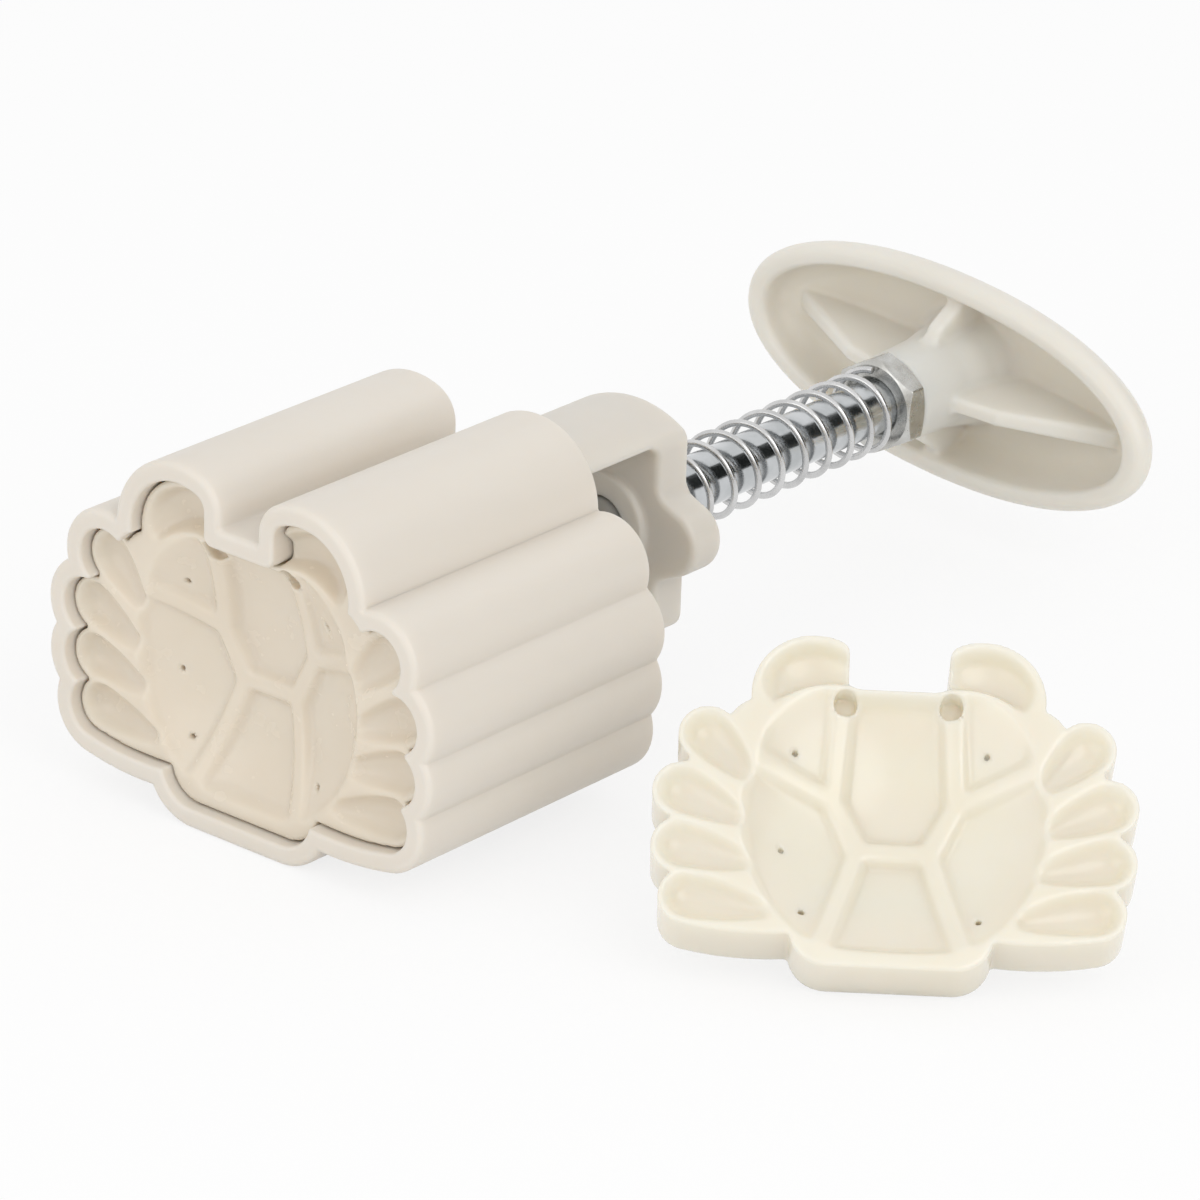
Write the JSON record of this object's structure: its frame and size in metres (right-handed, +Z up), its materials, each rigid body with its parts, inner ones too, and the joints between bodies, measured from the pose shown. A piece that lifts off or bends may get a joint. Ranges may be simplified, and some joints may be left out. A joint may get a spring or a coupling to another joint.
{
  "type": "mooncake press",
  "caption": "Crab-shaped mooncake press: a sprung plunger with a relief stamp in a moulded sleeve, a palm handle, and a spare stamp beside it.",
  "frame": {"origin": "middle of the flat underside of the sleeve's belly, on which the press lies", "axes": "+Z up towards the crab's claws, +Y along the plunger from the mouth of the mould to the handle, +X to the right seen from the mouth"},
  "size_m": [0.1497, 0.1619, 0.0511],
  "materials": {
    "sleeve_plastic": "satin moulded",
    "frame_plastic": "satin moulded",
    "handle_plastic": "smooth moulded",
    "stamp_plastic": "smooth moulded, slightly translucent",
    "zinc_steel": "bright zinc plated",
    "spring_steel": "drawn wire",
    "insert_brass": "turned"
  },
  "bodies": {
    "press": {"mould_sleeve": "sleeve_plastic", "guide_frame": "frame_plastic", "frame_screws": "zinc_steel", "spring_washer": "zinc_steel", "return_spring": "spring_steel"},
    "plunger": {"plunger_rod": "zinc_steel", "spring_nut": "zinc_steel", "handle": "handle_plastic", "handle_insert": "insert_brass", "press_stamp": "stamp_plastic", "stamp_insert": "insert_brass"},
    "spare_stamp": {"loose_stamp": "stamp_plastic", "loose_stamp_insert": "insert_brass"}
  },
  "joints": [
    {"name": "plunger_slide", "type": "slide", "parent": "press", "child": "plunger", "axis": [0, -1, 0], "range_m": [-0.0195, 0.025], "stiffness_N_per_m": 400, "deforming": ["return_spring"]},
    {"name": "spare_stamp_lift", "type": "slide", "parent": "press", "child": "spare_stamp", "axis": [0, 0, 1], "range_m": [0, 0.1]}
  ]
}
